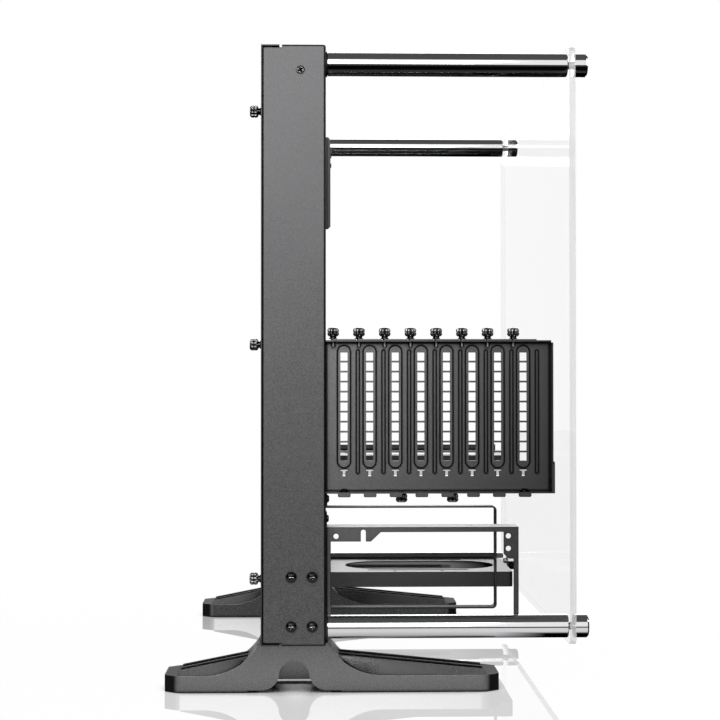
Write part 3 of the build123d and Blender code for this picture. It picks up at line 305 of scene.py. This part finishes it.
def foot_top(tree):
    """Matt upper faces of the feet, with painted shade along the grooves of the decks and on the turned end
    faces of the feet.
    """
    x_face, _, z_face = axes_of(tree, "Normal")
    _, y, z = axes_of(tree, "Object")
    upward = spread(tree, z_face, 0.0, 1.0, 0.55, 0.85)
    middle = calc(tree, "ABSOLUTE", calc(tree, "SUBTRACT", calc(tree, "ABSOLUTE", y), FOOT_Y))
    groove = calc(
        tree, "COMPARE", middle, (DECK_RIB + DECK_GROOVE_END) / 2, (DECK_GROOVE_END - DECK_RIB) / 2
    )
    high = spread(tree, z, 0.0, 1.0, DECK_LOW - 0.0003, DECK_LOW + 0.0003)
    groove_shade = calc(tree, "MULTIPLY", groove, high)
    turned = spread(tree, calc(tree, "ABSOLUTE", x_face), 0.0, 1.0, 0.2, 0.55)
    low = spread(tree, z, 1.0, 0.0, TIP_TOP, TIP_TOP + 0.001)
    tip_shade = calc(tree, "MULTIPLY", turned, low)
    grains = spread(tree, noise(tree, 900.0, 1.0), 0.0, 1.0)
    grained = mixed(tree, grains, (0.07, 0.07, 0.072), (0.17, 0.17, 0.173))
    # Painted shade: near-black in the deck grooves and on the end faces of the feet.
    top = mixed(tree, groove_shade, grained, (0.006, 0.006, 0.006))
    surface = mixed(tree, tip_shade, top, (0.008, 0.008, 0.008))
    return calc(tree, "MAXIMUM", upward, tip_shade), surface, 0.85, calc(tree, "MAXIMUM", groove_shade, tip_shade)


def along_bracket(tree):
    """Zero at the panel, one towards the window end of the bracket, along which painted shade darkens the
    bracket.
    """
    return spread(tree, axes_of(tree, "Object")[0], 0.0, 1.0, PANEL_FRONT, 0.14)


def cover_tongue(tree):
    """One on the tongues at the lower ends of the slot covers, where a pale painted highlight goes."""
    return spread(tree, axes_of(tree, "Object")[2], 1.0, 0.0, COVER_LOW, COVER_LOW + 0.0004)


# Painted shade: dark lines along edges, on bent faces and in the top seam, and in gaps.
tray_steel = coated(
    "tray_steel", (0.085, 0.085, 0.087), 0.44, mottle=0.35, metal=0.85, edge=-0.95, radius=0.0006, rim=0.002,
    dark=(0.62, 0.92), gap_shade_level=0.03, bend_shade=(0.008, 0.008, 0.008),
)
# Painted shade along edges and in gaps.
cover_steel = coated("cover_steel", (0.08, 0.08, 0.082), 0.44, mottle=0.35, metal=0.85, edge=-0.9, rim=0.0015)
# Painted shade along edges and in gaps, deepening towards the window end.
bracket_steel = coated(
    "bracket_steel", (0.125, 0.125, 0.128), 0.36, mottle=0.22, metal=0.85, edge=-0.95,
    rim=0.0017, radius=0.0004, gap=0.0022, shade_ramp=along_bracket, dark=(0.8, 0.96), gap_shade_level=0.02,
)
# Painted highlights along edges, painted shade in gaps deepening towards the window end, and pale painted
# light on the tongues.
slot_cover_steel = coated(
    "slot_cover_steel", (0.13, 0.13, 0.133), 0.36, mottle=0.22, metal=0.85, edge=1.0,
    rim=0.0007, radius=0.0004, gap=0.0022, shade_ramp=along_bracket, dark=(0.8, 0.96), gap_shade_level=0.02,
    tongue=cover_tongue,
)
chrome_post = plated("chrome_post", (0.80, 0.80, 0.81), 0.05, grain=(30.0, 700.0, 700.0))
washer_nylon = coated("washer_nylon", (0.02, 0.02, 0.021), 0.5, grain=900.0)
clear_acrylic = clear_sheet("clear_acrylic", (0.16, 0.165, 0.165), (0.64, 0.65, 0.65), 0.066, 0.66)
# Painted highlights along edges, painted shade in gaps, in the deck grooves and on the end faces.
foot_plastic = coated(
    "foot_plastic", (0.2, 0.2, 0.203), 0.22, grain=1700.0, mottle=0.16, edge=0.4, radius=0.0006, metal=1.0,
    gap=0.003, matt=foot_top, dark=(0.66, 0.92), gap_shade_level=0.04,
)
pad_rubber = coated("pad_rubber", (0.02, 0.02, 0.02), 0.75, grain=700.0)
zinc_steel = plated("zinc_steel", (0.56, 0.57, 0.58), 0.32)
SCREW_GRAIN = (500.0, 500.0, 500.0)
black_screw = plated("black_screw", (0.035, 0.035, 0.037), 0.14, SCREW_GRAIN, 0.2, recess_wear_and_shade=(0.62, 0.62, 0.63))
# Painted shade: black in the flutes and the cross recess.
knurled_screw = plated(
    "knurled_screw", (0.26, 0.26, 0.27), 0.16, SCREW_GRAIN, 0.2, recess_wear_and_shade=BLACK, within=(0.003, 0.62, 0.95)
)
# Painted shade: black in the cross recess and along the rim.
corner_screw = plated(
    "corner_screw", (0.36, 0.36, 0.365), 0.4, SCREW_GRAIN, 0.1, recess_wear_and_shade=BLACK,
    within=(0.0012, 0.7, 0.95, True), rim=0.003,
)
bezel_plastic = coated("bezel_plastic", (0.035, 0.035, 0.037), 0.45, grain=1600.0)
button_plastic = coated("button_plastic", (0.05, 0.05, 0.052), 0.25, grain=2200.0, grain_depth=0.00004)
socket_steel = plated("socket_steel", (0.62, 0.62, 0.63), 0.22)
socket_plastic = coated("socket_plastic", (0.018, 0.018, 0.019), 0.4, grain=1500.0)
board_resin = coated("board_resin", (0.02, 0.12, 0.06), 0.35, grain=500.0, mottle=0.35)
materials = {
    made.name: made
    for made in (
        tray_steel,
        cover_steel,
        bracket_steel,
        slot_cover_steel,
        chrome_post,
        washer_nylon,
        clear_acrylic,
        foot_plastic,
        pad_rubber,
        zinc_steel,
        black_screw,
        bezel_plastic,
        button_plastic,
        socket_steel,
        socket_plastic,
        board_resin,
    )
}
slot_of = {part["node"]: part["material_slot"] for part in frame["record"]["subparts"]}
for name, obj in nodes.items():
    obj.data.materials.append(materials[slot_of[name]])


def ring_faces(bm, rings):
    """Joins rings of vertices, in order, with quads."""
    for low, high in zip(rings, rings[1:]):
        count = len(low)
        for k in range(count):
            bm.faces.new((low[k], low[(k + 1) % count], high[(k + 1) % count], high[k]))


def cross_depth(x, y, arm, half):
    """How far inside a cross recess a point lies, from 0 at its rim to 1."""
    inside = -min(max(abs(x) - arm, abs(y) - half), max(abs(y) - arm, abs(x) - half))
    return max(0.0, min(1.0, inside / half))


def turned_mesh(name, profile, segments, flutes=0, flute_depth=0.0, flute_span=(0.0, 0.0), recess=None):
    """Closed mesh turned about Z: profile points (r, z) from bottom to top, fluted between two heights.

    recess is (arm, half width, depth, rings) of a cross in the top disc.
    """
    bm = bmesh.new()
    rings = []
    for r, z in profile:
        ring = []
        for k in range(segments):
            angle = 2 * math.pi * k / segments
            radius = r
            if flutes and flute_span[0] <= z <= flute_span[1]:
                radius -= flute_depth * (0.5 - 0.5 * math.cos(flutes * angle)) ** 2
            ring.append(bm.verts.new((radius * math.cos(angle), radius * math.sin(angle), z)))
        rings.append(ring)
    ring_faces(bm, rings)
    bm.faces.new(list(reversed(rings[0])))
    top_r, top_z = profile[-1]
    if recess:
        arm, half, depth, count = recess
        inner = [rings[-1]]
        for step in range(1, count):
            r = top_r * (1 - step / count)
            ring = []
            for k in range(segments):
                angle = 2 * math.pi * k / segments
                x, y = r * math.cos(angle), r * math.sin(angle)
                ring.append(bm.verts.new((x, y, top_z - depth * cross_depth(x, y, arm, half))))
            inner.append(ring)
        ring_faces(bm, inner)
        centre = bm.verts.new((0, 0, top_z - depth))
        last = inner[-1]
        for k in range(segments):
            bm.faces.new((last[k], last[(k + 1) % segments], centre))
    else:
        bm.faces.new(rings[-1])
    bmesh.ops.recalc_face_normals(bm, faces=bm.faces)
    mesh = bpy.data.meshes.new(name)
    bm.to_mesh(mesh)
    bm.free()
    return mesh


def group(name, template, places, node, material=black_screw, sharp=35.0):
    """One object of many copies of a mesh, riding on the frame in place of a CAD node."""
    bm = bmesh.new()
    for place, turn, spin in places:
        copy = bmesh.new()
        copy.from_mesh(template)
        move = Matrix.Translation(place) @ Euler(turn).to_matrix().to_4x4() @ Matrix.Rotation(spin, 4, "Z")
        copy.transform(move)
        part = bpy.data.meshes.new("part")
        copy.to_mesh(part)
        copy.free()
        bm.from_mesh(part)
        bpy.data.meshes.remove(part)
    mesh = bpy.data.meshes.new(name)
    bm.to_mesh(mesh)
    bm.free()
    mesh.materials.append(material)
    mesh.shade_smooth()
    mesh.set_sharp_from_angle(angle=math.radians(sharp))
    obj = bpy.data.objects.new(name, mesh)
    scene.collection.objects.link(obj)
    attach(obj, "frame")
    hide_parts(node)


QUARTER = math.pi / 2
UP = (0, 0, 0)
DOWN = (math.pi, 0, 0)
TO_NEAR = (QUARTER, 0, 0)
TO_FAR = (-QUARTER, 0, 0)
TO_REAR = (0, -QUARTER, 0)
TO_WINDOW = (0, QUARTER, 0)

# Thumbscrews: fluted heads with a cross recess in the end, on a waist or close to their seat
THUMB_HEAD = [
    (0.0038, 0.0002),
    (0.0047, 0.0011),
    (0.0048, 0.0018),
    (0.0048, 0.0028),
    (0.0044, 0.0031),
    (0.0044, 0.0035),
    (0.0048, 0.0038),
    (0.0048, 0.0048),
    (0.0046, 0.0056),
    (0.0038, 0.0064),
    (0.0031, 0.0067),
]


def thumbscrew(name, shank, waist, lift):
    """Thumbscrew whose head starts at a height above its seat."""
    points = [(0.00175, -shank), (0.00175, 0.0), *waist]
    points += [(r, z + lift) for r, z in THUMB_HEAD]
    return turned_mesh(
        name,
        points,
        96,
        flutes=8,
        flute_depth=0.0012,
        flute_span=(lift + 0.0008, lift + 0.0058),
        recess=(0.0021, 0.0007, 0.0018, 10),
    )


WAIST = [(0.0033, 0.0), (0.0033, 0.0006), (0.0026, 0.0010), (0.0026, 0.0020)]
thumb_mesh = thumbscrew("thumbscrew", 0.0060, WAIST, 0.0022)
low_thumb_mesh = thumbscrew("low_thumbscrew", 0.0018, [(0.0033, 0.0), (0.0033, 0.0003)], 0.0004)
LOBE = math.pi / 8
THUMB_OFFSET = 0.0086
UNDER_THUMB_Y = -0.228
UNDER_THUMB_REACH = (0.0597, 0.1)
cover_places = [
    (
        (COVER_BACK, side * COVER_SCREW_Y, COVER_SCREW_Z + step * COVER_SCREW_STEP),
        TO_REAR,
        LOBE + 0.1 * step + 0.05 * side,
    )
    for side in (-1, 1)
    for step in (-1, 0, 1)
]
group("cover_thumbscrew_heads", thumb_mesh, cover_places, "cover_thumbscrews", knurled_screw)
slot_places = [
    ((x - THUMB_OFFSET, FLANGE_Y, BRACKET_TOP), UP, LOBE + 0.08 * math.sin(2 * k))
    for k, x in enumerate(SLOT_XS)
]
group("slot_thumbscrew_heads", thumb_mesh, slot_places, "slot_thumbscrews", knurled_screw)
under_places = [
    ((PANEL_FRONT + reach, UNDER_THUMB_Y, BRACKET_BOTTOM), DOWN, LOBE + reach)
    for reach in UNDER_THUMB_REACH
]
group("bracket_thumbscrew_heads", low_thumb_mesh, under_places, "bracket_thumbscrews", knurled_screw)


def domed_profile(head, height, shank, length, flat):
    """Profile of a domed screw whose top disc, of radius flat, takes the recess."""
    rim = height * 0.35
    points = [(shank, -length), (shank, 0.0), (head, 0.0), (head, rim)]
    for step in range(1, 7):
        r = head + (flat - head) * step / 6
        points.append((r, rim + (height - rim) * (1 - (r / head) ** 2)))
    return points


def cross_screw(name, head, height, shank, length, depth=None):
    """Domed screw with a cross recess."""
    flat = head * 0.6
    return turned_mesh(
        name,
        domed_profile(head, height, shank, length, flat),
        64,
        recess=(flat * 0.95, head * 0.17, depth or height * 0.55, 12),
    )


pan_mesh = cross_screw("pan_screw", 0.004, 0.0022, 0.002, 0.0032)
corner_mesh = cross_screw("corner_screw", 0.0034, 0.00055, 0.0015, 0.0024, 0.0014)
small_mesh = cross_screw("small_screw", 0.003, 0.002, 0.0015, 0.004)
bolt_mesh = cross_screw("post_bolt", 0.006, 0.0035, 0.003, 0.0162)
floor_screw_mesh = cross_screw("foot_screw", 0.004, 0.0022, 0.002, 0.0122)
SIDE_XS = (-0.0671, -0.0507)
SIDE_ZS = (0.05405, 0.09275)
side_places = [
    ((x, side * WALL_Y, z), TO_NEAR if side < 0 else TO_FAR, 9 * x + 40 * z)
    for side in (-1, 1)
    for x in SIDE_XS
    for z in SIDE_ZS
]
group("foot_side_screw_heads", pan_mesh, side_places, "foot_side_screws")
corner_places = [((-0.0600, -WALL_Y, 0.491), TO_NEAR, 0.5), ((-0.0600, WALL_Y, 0.491), TO_FAR, 1.1)]
group("corner_screw_heads", corner_mesh, corner_places, "corner_screws", corner_screw)
foot_places = [((x, y, 0.0422), UP, 50 * x) for x in SIDE_XS for y in (-FOOT_Y, FOOT_Y)]
group("foot_bottom_screw_heads", floor_screw_mesh, foot_places, "foot_bottom_screws")
under_mesh = cross_screw("under_screw", 0.004, 0.003, 0.0015, 0.004)
under_screws = [((x, FLANGE_Y, BRACKET_BOTTOM + SHEET), UP, 20 * x) for x in (SLOT_XS[0], SLOT_XS[-1])]
group("bracket_flange_screw_heads", under_mesh, under_screws, "bracket_screws")
NUT = 0.006 / 3**0.5
nut_mesh = turned_mesh("nut", [(NUT * 0.9, 0.0), (NUT, 0.0003), (NUT, 0.0021), (NUT * 0.9, 0.0024)], 6)
nut_places = [((x, FLANGE_Y, BRACKET_BOTTOM), DOWN, 0.3) for x in (SLOT_XS[0], SLOT_XS[-1])]
group("bracket_flange_nuts", nut_mesh, nut_places, "bracket_screws")
foot_screws = [((PANEL_FRONT + SHEET, -0.2178, z), TO_WINDOW, 3 * z) for z in (0.153, 0.2685)]
group("bracket_panel_screw_heads", small_mesh, foot_screws, "bracket_screws")
psu_places = [
    ((PANEL_FRONT + SUPPLY_SHEET, -0.199, 0.1356), TO_WINDOW, 0.4),
    ((PANEL_FRONT + HOOP_SHEET, -0.045, 0.1392), TO_WINDOW, 1.0),
]
group("psu_screw_heads", small_mesh, psu_places, "psu_screws")
tray_places = [
    ((PANEL_FRONT + SHEET, y, z), TO_WINDOW, 30 * y + z) for y in (0.029, 0.085) for z in (0.0605, 0.1695)
]
group("tray_screw_heads", small_mesh, tray_places, "tray_screws")
post_places = [((PANEL_BACK, y, z), TO_REAR, y + z) for y in (-0.221, 0.221) for z in (0.052, 0.498)]
group("post_bolt_heads", bolt_mesh, post_places, "post_bolts")

# Floor: white and glossy, with a faint mirror image and a soft painted contact shadow
FLOOR_SIZE = 12.0
floor_mesh = bpy.data.meshes.new("floor")
edge = FLOOR_SIZE / 2
floor_mesh.from_pydata(
    [(-edge, -edge, 0), (edge, -edge, 0), (edge, edge, 0), (-edge, edge, 0)], [], [(0, 1, 2, 3)]
)
floor = bpy.data.objects.new("floor", floor_mesh)
floor.location.z = -0.0002
scene.collection.objects.link(floor)
floor_white, tree, shader = node_tree("floor_white")
shader.inputs["Base Color"].default_value = (0.93, 0.93, 0.93, 1.0)
shader.inputs["Roughness"].default_value = 0.5
path = tree.nodes.new("ShaderNodeLightPath")
place = tree.nodes.new("ShaderNodeTexCoord")
glow = tree.nodes.new("ShaderNodeEmission")
glow.inputs["Color"].default_value = (1.0, 1.0, 1.0, 1.0)
# Painted contact shadow: ambient occlusion dims the white glow near the object.
tree.links.new(crevice(tree, 0.04, 0.3, 0.62), glow.inputs["Strength"])
polish = tree.nodes.new("ShaderNodeBsdfGlossy")
polish.inputs["Color"].default_value = (1.0, 1.0, 1.0, 1.0)
polish.inputs["Roughness"].default_value = 0.0
sheen = tree.nodes.new("ShaderNodeMixShader")
tree.links.new(glow.outputs["Emission"], sheen.inputs[1])
tree.links.new(polish.outputs["BSDF"], sheen.inputs[2])
floor_x, floor_y, _ = axes_of(tree, "Object")
tree.links.new(spread(tree, floor_y, 0.36, 0.62, -0.2, 0.15), sheen.inputs["Fac"])
away = tree.nodes.new("ShaderNodeVectorMath")
away.operation = "LENGTH"
tree.links.new(place.outputs["Object"], away.inputs[0])
near = spread(tree, away.outputs["Value"], 0.97, 1.0, 0.20, 0.70)
share = calc(tree, "MULTIPLY", path.outputs["Is Camera Ray"], near)
blend = tree.nodes.new("ShaderNodeMixShader")
tree.links.new(share, blend.inputs["Fac"])
tree.links.new(shader.outputs["BSDF"], blend.inputs[1])
tree.links.new(sheen.outputs["Shader"], blend.inputs[2])
# In polished metal the floor is a pale table with a darker room in front of it
depth = spread(tree, floor_y, 0.0, 1.0, -edge, edge)
table = tree.nodes.new("ShaderNodeValToRGB")
stops = table.color_ramp.elements
for (y, level), stop in zip(((-1.7, 0.9), (-1.5, 0.04)), stops):
    stop.position = (y + edge) / FLOOR_SIZE
    stop.color = (level, level, level, 1.0)
for y, level in ((-0.55, 0.04), (-0.42, 0.8), (-0.26, 0.8), (-0.19, 0.16)):
    stop = stops.new((y + edge) / FLOOR_SIZE)
    stop.color = (level, level, level, 1.0)
tree.links.new(depth, table.inputs["Fac"])
image = tree.nodes.new("ShaderNodeEmission")
tree.links.new(table.outputs["Color"], image.inputs["Color"])
sideways = calc(tree, "ABSOLUTE", calc(tree, "SUBTRACT", floor_x, FOOT_MIDDLE_X))
close = spread(tree, path.outputs["Ray Length"], 1.0, 0.05, 0.30, 0.45)
width = spread(tree, sideways, 1.0, 0.0, 0.135, 0.175)
front = spread(tree, floor_y, 1.0, 0.0, -0.265, -0.245)
patch = calc(tree, "MULTIPLY", close, calc(tree, "MAXIMUM", width, front))
tree.links.new(patch, image.inputs["Strength"])
both = tree.nodes.new("ShaderNodeMixShader")
tree.links.new(path.outputs["Is Glossy Ray"], both.inputs["Fac"])
tree.links.new(blend.outputs["Shader"], both.inputs[1])
tree.links.new(image.outputs["Emission"], both.inputs[2])
tree.links.new(both.outputs["Shader"], tree.nodes["Material Output"].inputs["Surface"])
floor_mesh.materials.append(floor_white)

# World: white behind the object, soft room light, and for metal a bright front and a dark ceiling
ROOM_LIGHT = 0.24
CEILING = 0.085
SIDES = 0.04
world = bpy.data.worlds.new("studio")
scene.world = world
world.use_nodes = True
tree = world.node_tree
tree.nodes.clear()
out = tree.nodes.new("ShaderNodeOutputWorld")
path = tree.nodes.new("ShaderNodeLightPath")
through = calc(tree, "MAXIMUM", path.outputs["Is Transmission Ray"], path.outputs["Is Singular Ray"])
seen = calc(tree, "MAXIMUM", path.outputs["Is Camera Ray"], through)
sky_x, sky_y, sky_z = axes_of(tree, "Generated")
above = calc(tree, "SUBTRACT", sky_z, spread(tree, sky_y, 0.69, 0.26, -0.3, 0.3))
lit = spread(tree, above, 1.0, 0.0, -0.03, 0.03)
facing = spread(tree, calc(tree, "ABSOLUTE", sky_x), 1.0, SIDES, 0.45, 0.70)
bright = calc(tree, "MULTIPLY", spread(tree, lit, CEILING, 1.0, 0.0, 1.0), facing)
room = tree.nodes.new("ShaderNodeBackground")
room.inputs["Color"].default_value = (1, 1, 1, 1)
room.inputs["Strength"].default_value = ROOM_LIGHT
mirror = tree.nodes.new("ShaderNodeBackground")
tree.links.new(bright, mirror.inputs["Strength"])
mirror.inputs["Color"].default_value = (1, 1, 1, 1)
white = tree.nodes.new("ShaderNodeBackground")
white.inputs["Color"].default_value = (1, 1, 1, 1)
first = tree.nodes.new("ShaderNodeMixShader")
tree.links.new(path.outputs["Is Glossy Ray"], first.inputs["Fac"])
tree.links.new(room.outputs["Background"], first.inputs[1])
tree.links.new(mirror.outputs["Background"], first.inputs[2])
second = tree.nodes.new("ShaderNodeMixShader")
tree.links.new(seen, second.inputs["Fac"])
tree.links.new(first.outputs["Shader"], second.inputs[1])
tree.links.new(white.outputs["Background"], second.inputs[2])
tree.links.new(second.outputs["Shader"], out.inputs["Surface"])


def softbox(name, place, target, size, watts):
    """Large soft lamp that points at the object."""
    lamp = bpy.data.lights.new(name, "AREA")
    lamp.shape = "RECTANGLE"
    lamp.size, lamp.size_y = size
    lamp.energy = watts
    obj = bpy.data.objects.new(name, lamp)
    obj.location = place
    obj.rotation_euler = (Vector(target) - Vector(place)).to_track_quat("-Z", "Y").to_euler()
    scene.collection.objects.link(obj)


softbox("front_softbox", (-0.5, -2.6, 1.25), (0, 0, 0.25), (1.8, 1.4), 46.0)
softbox("window_softbox", (2.4, 0.15, 1.2), (0, 0, 0.25), (1.4, 1.2), 26.0)
softbox("rear_softbox", (-2.4, 0.4, 1.2), (0, 0, 0.25), (1.4, 1.2), 22.0)
softbox("back_softbox", (0.3, 2.6, 1.4), (0, 0, 0.25), (1.8, 1.2), 30.0)

# Camera
lens = bpy.data.cameras.new("camera")
lens.lens = CAMERA_LENS
lens.sensor_width = 36.0
lens.clip_start = 0.05
lens.clip_end = 50.0
camera = bpy.data.objects.new("camera", lens)
turn = Euler((math.radians(CAMERA_PITCH), 0, math.radians(CAMERA_YAW))).to_matrix()
roll = Matrix.Rotation(math.radians(CAMERA_ROLL), 3, "Z")
camera.location = CAMERA_PLACE
camera.rotation_euler = (turn @ roll).to_euler()
scene.collection.objects.link(camera)
scene.camera = camera

scene.view_settings.view_transform = "Standard"
